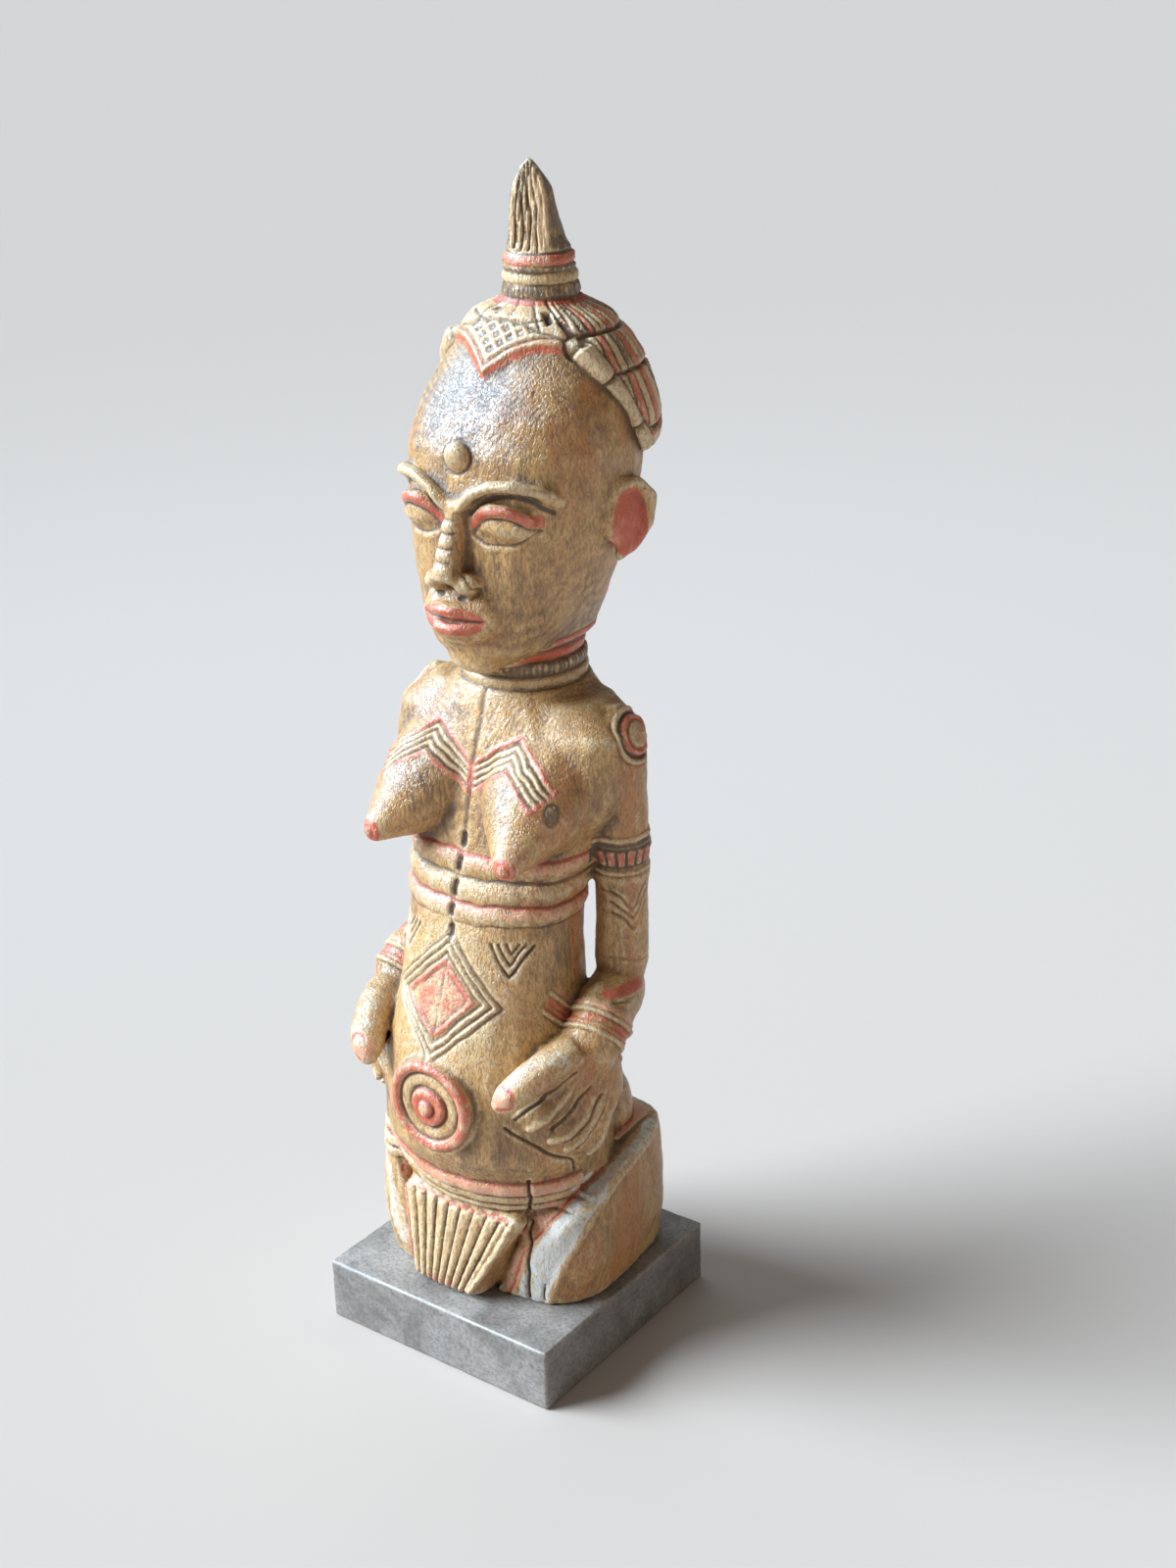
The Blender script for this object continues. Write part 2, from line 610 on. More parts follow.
def carve_apron(skin, throw):
    x, y, z = skin.points.T
    middle, half = np.interp(z, (31, 73), (-6, 0)), np.interp(z, (31, 73), (15, 31))
    share = (x - middle) / half
    apron = (z < 74.5) & (z > 28) & (abs(share) < 1.04) & (y < -27)
    skin.lay("cream", np.minimum((1 - abs(share)) * half, 74.5 - z), apron)

    # round flutes with cuts between them
    flute = strips((share + 1) * FLUTES / 2, 1)
    fluted = apron & (z < 71.0) & (share < 0.9)
    skin.raise_(1.1 * np.sqrt(np.clip(1 - flute**2, 0, 1)), fluted)
    gap = (1 - flute) * half / FLUTES
    skin.cut(gap, fluted, (0, 0.9, 1.5))
    skin.lay("wood", 0.45 - gap, fluted)

    # scalloped red hem above, and a trace of red at the foot
    scallop = 71.4 + 1.5 * np.cos(np.pi * flute / 2)
    skin.lay("rose", within(z, scallop - 1.9, scallop + 0.5), apron & (z > 66))
    skin.lay("red", within(z, scallop - 0.5, scallop + 0.3), apron & (z > 66))
    skin.cut(z - scallop, apron, (-2.2, 0.8, 0.9))
    skin.lay("rose", np.minimum(36.0 - z, 0.4), apron & (abs(share) < 0.5) & (z < 38))
    fold = throw.front([(29.6, 71.0), (24.0, 58.5), (17.6, 46.6), (9.8, 33.0)], True)
    skin.draw(fold, ridge=(1.9, 1.1), cream=(1.3,))
    for start in (20.6, 14.6):
        skin.groove(throw.front([(start, 72), (start - 3.4, 58), (start - 9.5, 36)], True), 0.7, 0.6)


def carve_arms(skin, throw):
    folded = right_half(skin.points)
    x, y, z = folded.T
    arm, _ = away_from(folded, UPPER_ARM)
    band = (arm < 16.5) & (x > 37) & (z > 214) & (z < 242)
    turn = np.degrees(np.arctan2(y - 19, x - 47))

    # armband: a plain rim above and below, and red squares on soot between them
    skin.lay("wood", within(z, 219.5, 239.0), band)
    skin.round_bands(z, band, (235.2, 238.2, 0.7), (220.4, 223.0, 0.7))
    skin.lay("dark", within(z, 223.6, 234.8), band)
    across = abs((turn / 21) % 1 - 0.5) * 21 * math.pi / 180 * 13
    square = np.minimum(1.5 - across, within(z, 225.4, 231.8))
    skin.lay("red", square, band)
    skin.raise_(0.5 * eased(-square / 0.5), band & (z > 224) & (z < 233))
    skin.cut(square, band & (z > 224) & (z < 233.4), (-0.75, 0.55, 0.8))

    # cut chevrons on the outside of the arm, and the crease above the elbow
    for low in (0, 4.6, 9.2):
        for copy in both(throw.side([(6.5, 216.5 - low), (13.8, 205 - low), (21.5, 216 - low)])):
            skin.groove(copy, 0.75, 0.9)
    elbow = [(43, 7.4, 182.6), (49, 7.2, 183.4), (55, 10.8, 182.9), (59, 18.8, 180.4), (57, 28, 180)]
    for copy in both(throw.snap(elbow)):
        skin.groove(copy, 0.8, 0.7)

    # a red wedge on the elbow with a pale cut under it
    wedge = throw.snap([(55.2, -2.6, 172.6), (58.0, 3.0, 172.4), (59.0, 9.0, 172.0), (58.6, 16.0, 171.4)])
    below = throw.snap([(58.3, -4.4, 169.9), (60.2, 4.0, 168.6), (60.4, 12.0, 167.6)])
    for copy in both(wedge):
        skin.brush("red", copy, 2.7, 0.5)
        skin.groove(copy + (0, 0, 3.0), 0.6, 0.4)
    for copy in both(below):
        skin.draw(copy, groove=(0.8, 0.7), cream=(0.6,))

    # bracelet: two thin raised rings with worn red between them
    level = (folded - WRIST[0]) @ WRIST[1]
    near = (np.linalg.norm(folded - WRIST[0], axis=1) < 26) & (x > 37) & (y < 12)
    skin.lay_bands(
        level, near, (-6.5, 9.5, "wood"), (-3.3, 2.0, "rose", 0.5), (-3.3, 2.0, "red", 0.12),
        (4.6, 7.6, "rose", 0.15),
    )
    skin.round_bands(level, near, (2.0, 4.5, 0.8), (-5.7, -3.3, 0.8))
    skin.cut(level, near, (-0.8, 0.8, 0.5))


def carve_hands(skin, throw):
    thumb = [(50.5, -30, 152), (44, -39, 152), (39, -46, 150)]
    nail = np.array((37.0, -54.2, 142.6))
    rim = [
        (36.6, -52, 147.4), (40.8, -52.4, 147.2), (42.6, -51.8, 144.4), (41.8, -52.1, 139.2),
        (37.0, -54.6, 137.6),
    ]
    valleys = (
        [(52.6, -25.7, 147.7), (49.5, -33.8, 141.5), (43.9, -40.1, 134.4), (35.0, -43.1, 124.9)],
        [(57.0, -18.0, 136.4), (56.3, -23.2, 132.9), (55.4, -26.1, 129.9), (53.6, -30, 126.1),
         (49.2, -35.8, 120.5)],
        [(58.6, -12.0, 130.0), (58.1, -16.3, 126.3), (57.1, -19.3, 120.5), (55.1, -24.3, 116.2),
         (51.6, -29.9, 112.2)],
        [(58.6, -9.0, 122.5), (58.3, -11.9, 119.5), (56.9, -15.8, 113.9), (55.2, -19.1, 109.3),
         (53, -21.8, 105.2)],
    )
    crests = (
        [(54.4, -25, 142), (52.9, -30, 137.5), (50.7, -34.5, 132.5), (46.7, -38.8, 126.8),
         (40.7, -41.2, 121.3)],
        [(57.8, -17.7, 131.6), (57.3, -20, 126.6), (55.2, -25.6, 120.7), (53, -29.5, 117.2),
         (47.6, -36, 114.9)],
        [(58.5, -13.4, 126.9), (57.6, -16.5, 119.2), (56.1, -20.1, 114.4), (53.5, -25, 110.3),
         (51.1, -28.7, 108.5)],
        [(58.5, -6.6, 119.3), (57.3, -8.7, 111.8), (55.8, -11.6, 106.6), (53.5, -15.1, 101.8)],
    )
    for sign in (1, -1):
        def snapped(points, bend=True):
            return throw.snap(np.array(points) * (sign, 1, 1), bend)

        gap = (skin.points - nail * (sign, 1, 1)) / (6.6, 6.4, 5.4)
        gap = (1 - np.linalg.norm(gap, axis=1)) * 5.6
        skin.brush("chalk", snapped(thumb), 3.4, -0.1)
        skin.lay("rose", gap, gap > -3)
        skin.draw(snapped(rim, False), groove=(0.8, 0.5), red=(1.1, 0.5))
        for points in valleys:
            skin.draw(snapped(points), groove=(1.25, 1.5), dark=(0.05, 0.1))
        for points in crests:
            skin.ridge(snapped(points), 2.4, 0.6)


def carve_shoulders(skin, throw):
    centre, way = ROUNDEL
    offset = right_half(skin.points) - centre
    flat = offset - (offset @ way)[:, None] * way
    near = (np.linalg.norm(offset, axis=1) < 18) & (offset @ way > -9)
    ring = np.linalg.norm(flat, axis=1)
    skin.lay_bands(
        ring, near, (10.6, 12.0, "cream", 0.3), (8.9, 10.4, "dark", 0.2), (6.0, 8.8, "red", 0.6),
        (-1, 6.0, "wood"),
    )
    skin.cut(ring, near, (9.5, 1.2, 1.3), (6.1, 0.8, 0.8), (12.6, 0.8, 0.6))
    skin.swell(ring, near, (11.2, 1.4, 0.7), (7.5, 1.2, 0.4))


def carve_legs(skin, throw):
    between = [(38, -25, 78), (33, -33, 66), (28, -37, 51.5), (22, -37, 37)]
    inner = (
        [(47.5, 0, 84.5), (45.9, -11.7, 81.5), (44, -21.2, 76.1), (41, -27, 70.7), (36.5, -32.1, 63.4),
         (31, -36, 52), (25.7, -36, 37.2), (22, -35, 29.3)],
        [(-29, -36, 29.3), (-28, -37, 42), (-28, -40, 59), (-33, -36.5, 81), (-34, -36, 95)],
    )
    outer = [
        (42.0, -33, 29.5), (44.5, -31, 40), (48.5, -28.5, 51), (52.4, -24.2, 62), (55.4, -16.6, 71.5),
        (57, -4.7, 79), (57.4, 13, 84), (54.3, 28, 85.5),
    ]
    band = [
        (51, -10, 80), (50, -18, 75), (47, -25, 67.5), (42.8, -30.5, 57), (38, -33.5, 45), (34, -34.5, 32),
    ]
    brim = [(48, 37, 87.5), (52, 19, 87), (52.5, 5, 84.5), (51, -10, 80)]
    flanks = (
        [(57, -12, 58), (57, 0, 62), (57, 20, 64), (52, 42, 62)], [(52, -22, 44), (56, -5, 44), (56, 30, 44)],
    )
    skin.brush("rose", throw.snap(between, True), 2.5, 0.1)

    # a chalky band runs over the knee and back along the rim of the thigh, with brown wood outside it
    for sign, far, white in ((1, 0, 0.8), (-1, 12, 0.0)):
        def snapped(points):
            return throw.snap(np.array(points) * (sign, 1, 1) + (0, 0, far), True)

        crest = snapped(outer)
        skin.ridge(crest, 2.6, 0.8)
        for points, half, full in ((band, 6.8, white), (brim, 2.6, 0.1)):
            line = snapped(points)
            skin.brush("chalk", line, half, full)
            skin.tone(line, half + 2, -0.8)
        skin.brush("wood", crest, 1.0, 0.3)
    for points in inner:
        skin.draw(throw.snap(points, True), groove=(1.2, 0.4), rose=(1.9,), red=(0.6,))
    for points in flanks:
        for copy in both(points):
            skin.tone(throw.snap(copy, True), 22, 0.2)


def carve_face(skin, throw):
    _, y, z = skin.points.T
    boss = np.linalg.norm(skin.points - (0, -21, 395.5), axis=1)
    skin.cut(boss, boss < 10, (7.4, 1.0, 1.0))
    skin.lay("cream", 6.6 - boss, boss < 9)
    for sign in (1, -1):
        def drawn(points):
            return throw.front([(sign * px, pz) for px, pz in points], True)

        brow = drawn([(4.5, 376), (11, 383.5), (20, 387), (30, 385), (38, 378.5)])
        skin.draw(brow, ridge=(2.2, 0.7), cream=(1.9,))
        hollow = drawn([(7.5, 373.5), (13, 379), (20, 382), (29, 380.5), (36, 375)])
        skin.draw(hollow, groove=(1.6, 0.8), dark=(0.9,))
        skin.brush("red", drawn([(8.5, 369.5), (13.5, 374.8), (20, 377.2), (27.5, 376), (34, 371.5)]), 2.3)
        upper = drawn([(8.0, 366.5), (13.5, 371.6), (20, 373.6), (27, 372.6), (33.5, 368.5)])
        skin.draw(upper, groove=(0.9, 0.9), dark=(0.35,))
        lower = drawn([(8.0, 366.5), (13.5, 363.4), (20, 362.4), (27, 363.8), (33.5, 368.5)])
        skin.groove(lower, 0.9, 0.8)
        skin.ridge(lower + (0, 0, -1.6), 1.2, 0.4)
        skin.draw(drawn([(4.2, 341.2), (6.6, 341.0)]), groove=(1.6, 1.6), dark=(0.9,))
        skin.groove(drawn([(8.2, 351), (11.2, 348), (11.4, 343.5), (9.4, 340.5)]), 1.0, 0.9)

    # lips: the upper and the lower, and the line between them
    for points, half in (
        ([(-14, 332.6), (-8, 336.2), (-2.6, 337.2), (0, 336.2), (2.6, 337.2), (8, 336.2), (14, 332.6)], 1.9),
        ([(-12, 330.0), (-6, 327.6), (0, 326.9), (6, 327.6), (12, 330.0)], 2.6),
        ([(-11, 333), (0, 332), (11, 333)], 2.4),
    ):
        skin.brush("red", throw.front(points, True), half)
    middle = throw.front([(-14.6, 332.4), (-7, 332.8), (0, 332.0), (7, 332.8), (14.6, 332.4)], True)
    skin.draw(middle, groove=(1.1, 1.2), dark=(0.3,))
    skin.groove(throw.front([(-6.5, 323.4), (0, 322.4), (6.5, 323.4)], True), 2.0, 0.6)

    # four small pale plates down the bridge of the nose, with dark cuts between them
    for level in (353.5, 358.7, 363.9, 369.1):
        skin.draw(throw.front([(-2.2, level), (2.2, level)]), ridge=(1.9, 0.5), cream=(1.5,))
        skin.draw(throw.front([(-3.6, level + 2.6), (3.6, level + 2.6)]), groove=(0.7, 0.6), dark=(0.35,))

    # ear: red bowl inside a pale rim
    folded = right_half(skin.points)
    bowl = np.linalg.norm((folded - (44.5, 31, 364)) / (1, 1.05, 1.5), axis=1)
    ear = (folded[:, 0] > 38.5) & (z > 345) & (z < 386) & (y > 20) & (y < 50)
    skin.lay("red", 9.6 - bowl, ear)
    skin.spot((0, -15, 415), (50, 42, 40), 0.9)
    skin.spot((0, -20, 350), (40, 30, 40), 0.25)


def carve_back(skin, throw):
    skin.groove(throw.back([(0, 292), (0, 262), (0, 235)]), 3.4, 1.0)
    skin.groove(throw.back([(0, 198), (0, 165), (0, 128), (0, 104)]), 3.4, 1.1)


def carve_cracks(skin, throw):
    middle = throw.front(
        [(0.2, 294), (0.8, 281), (-0.2, 268), (0.2, 254), (-0.5, 240), (-0.1, 223), (-0.5, 206), (0.2, 190),
         (-0.8, 170), (-1.4, 149)], True,
    )
    skin.groove(middle, 0.7, 0.8)
    skin.brush("dark", middle[middle[:, 2] < 264], 0.15)
    for points, half, depth in (
        ([(31.4, -44.4, 121.1), (36.2, -40.9, 116.7), (40.9, -35.4, 111.3), (44, -31.5, 106.5),
          (47.7, -21, 100), (47.2, -17.9, 93.3)], 0.45, 1.7),
        ([(36.5, -35.9, 92.8), (34.1, -32.8, 81.0), (31.2, -30.4, 66.3), (34.3, -34.1, 59.6),
          (33.7, -35.3, 47.6), (32.0, -34.5, 36.4), (32.0, -33.5, 30.0)], 0.65, 2.4),
        ([(41.5, -36.0, 40.0), (42.0, -37.0, 35.0), (42.3, -37.0, 30.0)], 0.35, 1.2),
    ):
        skin.draw(throw.snap(points, True), groove=(half * 2, depth), black=(half * 0.75,))
    knot = np.linalg.norm((skin.points - (43.9, -22.4, 257.9)) / (2.7, 4.0, 4.6), axis=1)
    skin.lay("dark", (1 - knot) * 2.4, knot < 1.8)
    skin.cut(knot, knot < 1.6, (1, 0.3, 0.6))


def filled_share(points):
    """1 where the carver left a valley of the body shallow, and 0 elsewhere."""
    share = np.zeros(len(points))
    for centre, radius in (
        ((51, -24, 130), (18, 36, 42)), ((-51, -24, 130), (18, 36, 42)),
        ((-33, -38, 84), (13, 13, 18)), ((24, -36, 46), (12, 12, 20)),
    ):
        gap = np.linalg.norm((points - centre) / radius, axis=1)
        share = np.maximum(share, eased((gap - 0.7) / 0.3))
    return share


def shade(skin):
    """Broad places where hands and smoke have darkened the wood, or light has bleached it."""
    for centre, radius, strength in (
        ((35, -20, 236), (22, 18, 10), 0.5), ((-35, -20, 236), (22, 18, 10), 0.5),
        ((40, -45, 112), (26, 26, 16), 0.55), ((-40, -45, 112), (26, 26, 16), 0.45),
        ((52, -30, 130), (18, 30, 26), 0.5), ((-52, -30, 130), (18, 30, 26), 0.45),
        ((14, -45, 100), (30, 20, 12), 0.5), ((50, 0, 262), (22, 30, 26), 0.35),
        ((-50, 0, 262), (22, 30, 26), 0.25), ((42, -5, 190), (12, 30, 36), 0.4),
        ((-42, -5, 190), (12, 30, 36), 0.4), ((40, 10, 285), (30, 30, 14), -0.4),
        ((20, 20, 322), (30, 34, 16), 0.5), ((0, 45, 240), (60, 40, 60), 0.2),
        ((4, -40, 165), (50, 30, 70), -1.2), ((0, -40, 215), (40, 26, 24), -0.5),
        ((0, -15, 285), (40, 24, 16), 0.1), ((24, -30, 258), (24, 22, 22), 0.4),
        ((-24, -30, 258), (24, 22, 22), 0.4),
    ):
        skin.spot(np.array(centre, float), radius, strength)


ORNAMENT = (
    carve_hair, carve_topknot, carve_neck, carve_chest, carve_waist, carve_belly, carve_belt, carve_apron,
    carve_arms, carve_hands, carve_shoulders, carve_legs, carve_face, carve_back, carve_cracks,
)


# ---------------------------------------------------------------- meshes


def modified(mesh, kind, **settings):
    """A copy of the mesh with one modifier applied."""
    holder = bpy.data.objects.new("holder", mesh)
    bpy.context.scene.collection.objects.link(holder)
    modifier = holder.modifiers.new(kind.title(), kind)
    for name, value in settings.items():
        setattr(modifier, name, value)
    shaped = holder.evaluated_get(bpy.context.evaluated_depsgraph_get())
    result = bpy.data.meshes.new_from_object(shaped)
    bpy.data.objects.remove(holder)
    return result


def pulled(items, key, width, kind=float):
    """One value of each item, a row to an item."""
    values = np.empty(len(items) * width, kind)
    items.foreach_get(key, values)
    return values.reshape(-1, width)


def coordinates(mesh):
    """The places of the mesh's points, in millimetres."""
    return pulled(mesh.vertices, "co", 3) / MM


def facing(mesh):
    """The way the mesh faces at each point."""
    return pulled(mesh.vertex_normals, "vector", 3)


def relaxed(points, ends, reach):
    """The points, each moved to the middle of its neighbours again and again, which smooths away whatever is
    smaller than reach. reach is in edges of the mesh."""
    start, end = ends
    size = len(points)
    count = np.bincount(start, minlength=size) + np.bincount(end, minlength=size)
    points = points.copy()
    for _ in range(max(1, round(reach**2))):
        for value in points.T:
            total = np.bincount(start, value[end], size) + np.bincount(end, value[start], size)
            value[:] = 0.5 * value + 0.5 * total / count
    return points


def uneven(points, size):
    """Slow, even noise from -1 to 1 at each point."""
    return np.array([noise.noise(Vector(point) / size) for point in points])


def placed(mesh, points):
    """Moves the mesh's points to places given in millimetres."""
    mesh.vertices.foreach_set("co", (points * MM).ravel())
    mesh.update()


def write(mesh, name, values):
    attribute = mesh.attributes.new(name, "FLOAT", "POINT")
    attribute.data.foreach_set("value", values.astype(np.float32))


def finished(mesh, name, node, material):
    """Puts a mesh in the scene as a piece that stands for its node."""
    mesh.materials.clear()
    mesh.materials.append(material)
    mesh.shade_smooth()
    piece = bpy.data.objects.new(name, mesh)
    bpy.context.scene.collection.objects.link(piece)
    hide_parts(node)
    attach(piece, "root")


# ---------------------------------------------------------------- materials

# colours that lie under every look: a shadow in a hole, and two browns of dirt
SHADOW = (0.016, 0.012, 0.010, 1)
GRIME = (0.100, 0.062, 0.036, 1)
OLD_GRIME = (0.090, 0.052, 0.030, 1)


class Sheet:
    """Adds nodes to a node tree and links them."""

    def __init__(self, tree):
        self.tree = tree

    def add(self, kind, out=0, settings=None, **sockets):
        node = self.tree.nodes.new(kind)
        for key, value in (settings or {}).items():
            setattr(node, key, value)
        for key, value in sockets.items():
            self.plug(node.inputs[key.replace("_", " ")], value)
        return node.outputs[out]

    def plug(self, socket, value):
        if isinstance(value, bpy.types.NodeSocket):
            self.tree.links.new(value, socket)
        else:
            socket.default_value = value

    def math(self, operation, first, second=0.0):
        node = self.tree.nodes.new("ShaderNodeMath")
        node.operation = operation
        self.plug(node.inputs[0], first)
        self.plug(node.inputs[1], second)
        return node.outputs[0]

    def times(self, first, second):
        return self.math("MULTIPLY", first, second)

    def more(self, value, *rows):
        """Adds other values to a value. A row gives the other value, its strength and its zero."""
        for other, strength, zero in rows:
            if zero:
                other = self.math("SUBTRACT", other, zero)
            value = self.math("ADD", value, self.times(other, strength))
        return value

    def blend(self, share, first, second):
        """A mix of two colours. Sockets 6 and 7 are the node's colours, and output 2 is the mixed one."""
        node = self.tree.nodes.new("ShaderNodeMix")
        node.data_type = "RGBA"
        for number, value in ((0, share), (6, first), (7, second)):
            self.plug(node.inputs[number], value)
        return node.outputs[2]

    def span(self, value, low, high, to_low=0.0, to_high=1.0):
        return self.add(
            "ShaderNodeMapRange", settings={"interpolation_type": "SMOOTHSTEP"},
            Value=value, From_Min=low, From_Max=high, To_Min=to_low, To_Max=to_high,
        )

    def noise(self, vector, scale, detail=3.0, rough=0.5, twist=0.0):
        return self.add(
            "ShaderNodeTexNoise", Vector=vector, Scale=scale, Detail=detail, Roughness=rough, Distortion=twist
        )

    def mapped(self, vector, scale, turn=(0, 0, 0), shift=(0, 0, 0)):
        return self.add("ShaderNodeMapping", Vector=vector, Scale=scale, Rotation=turn, Location=shift)

    def parts(self, vector):
        node = self.tree.nodes.new("ShaderNodeSeparateXYZ")
        self.plug(node.inputs[0], vector)
        return node.outputs

    def attribute(self, name):
        return self.add("ShaderNodeAttribute", out=2, settings={"attribute_name": name})

    def use(self, tree, **sockets):
        """The outputs of a node group put into this tree."""
        node = self.tree.nodes.new("ShaderNodeGroup")
        node.node_tree = tree
        for key, value in sockets.items():
            self.plug(node.inputs[key.replace("_", " ")], value)
        return node.outputs


def group(name, inputs, outputs):
    """An empty node group: its sheet, the sockets that its inputs come from and those that its outputs go to.
    An input without a default is a vector."""
    tree = bpy.data.node_groups.new(name, "ShaderNodeTree")
    for title, value in inputs.items():
        kind = "NodeSocketVector" if value is None else "NodeSocketFloat"
        socket = tree.interface.new_socket(name=title, in_out="INPUT", socket_type=kind)
        if value is not None:
            socket.default_value = value
    for title in outputs:
        tree.interface.new_socket(name=title, in_out="OUTPUT", socket_type="NodeSocketFloat")
    taken, given = tree.nodes.new("NodeGroupInput"), tree.nodes.new("NodeGroupOutput")
    return Sheet(tree), taken.outputs, given.inputs


def painted(name, specular):
    """A new material: itself, its sheet and the sockets of its shader."""
    material = bpy.data.materials.new(name)
    material.use_nodes = True
    sockets = material.node_tree.nodes["Principled BSDF"].inputs
    sockets["Specular IOR Level"].default_value = specular
    return material, Sheet(material.node_tree), sockets


def brushed_edge(name):
    """Turns a depth in a stroke into a mask with a chipped edge and rubbed holes."""
    sheet, taken, given = group(name, {"Vector": None, "Depth": 0.0, "Rub": 0.0, "Holes": 0.4}, ("Mask",))
    place = taken["Vector"]
    chips, wander = sheet.noise(place, 620.0, 3.0, 0.6), sheet.noise(place, 130.0, 2.0)
    cover = sheet.span(sheet.more(taken["Depth"], (chips, 1.4, 0.5), (wander, 1.1, 0.5)), -0.3, 0.35)
    patches = sheet.noise(sheet.mapped(place, (1, 1, 0.6)), 420.0, 5.0, 0.7)
    limit = sheet.more(taken["Holes"], (taken["Rub"], 0.12, 0))
    kept = sheet.span(sheet.math("SUBTRACT", patches, limit), -0.07, 0.09)
    sheet.plug(given["Mask"], sheet.times(cover, kept))
    return sheet.tree


def wood_fibre(name):
    """Growth rings, long fibres and fine pitting of an upright log, each from 0 to 1."""
    sheet, taken, given = group(name, {"Vector": None, "Ring Width": 0.0024}, ("Rings", "Fibre", "Pits"))
    place = taken["Vector"]
    slow = sheet.noise(sheet.mapped(place, (22.0, 22.0, 5.0)), 1.0, 2.0, 0.5)
    parts = sheet.parts(sheet.mapped(place, (1, 1, 1), shift=(0.012, -0.022, 0)))
    flat = sheet.add("ShaderNodeCombineXYZ", X=parts[0], Y=parts[1])
    radius = sheet.add("ShaderNodeVectorMath", out=1, settings={"operation": "LENGTH"}, Vector=flat)
    radius = sheet.more(radius, (slow, 0.016, 0), (parts[2], 0.035, 0))
    phase = sheet.math("DIVIDE", sheet.times(radius, 2 * math.pi), taken["Ring Width"])
    pits = sheet.noise(sheet.mapped(place, (1, 1, 0.42)), 1050.0, 2.0, 0.5, 0.8)
    for title, value in (
        ("Rings", sheet.span(sheet.math("SINE", phase), -0.9, 1.0)),
        ("Fibre", sheet.noise(sheet.mapped(place, (1400.0, 1400.0, 80.0)), 1.0, 3.0, 0.6, 0.4)),
        ("Pits", sheet.span(pits, 0.36, 0.56)),
    ):
        sheet.plug(given[title], value)
    return sheet.tree


def settled_dust(name):
    """Pale dust in soft patches, thickest where a surface looks up."""
    sheet, taken, given = group(name, {"Vector": None, "Patch Scale": 40.0, "Amount": 0.5}, ("Mask",))
    place = taken["Vector"]
    up = sheet.span(sheet.parts(sheet.add("ShaderNodeNewGeometry", out=1))[2], -0.9, 0.9, 0.5, 1.0)
    broad = sheet.span(sheet.noise(place, taken["Patch Scale"], 6.0, 0.65, 0.6), 0.32, 0.66, 0.45, 1.0)
    fine = sheet.span(sheet.noise(place, 620.0, 4.0, 0.7), 0.28, 0.62, 0.4, 1.0)
    mask = sheet.times(sheet.times(broad, fine), up)
    sheet.plug(given["Mask"], sheet.times(mask, taken["Amount"]))
    return sheet.tree


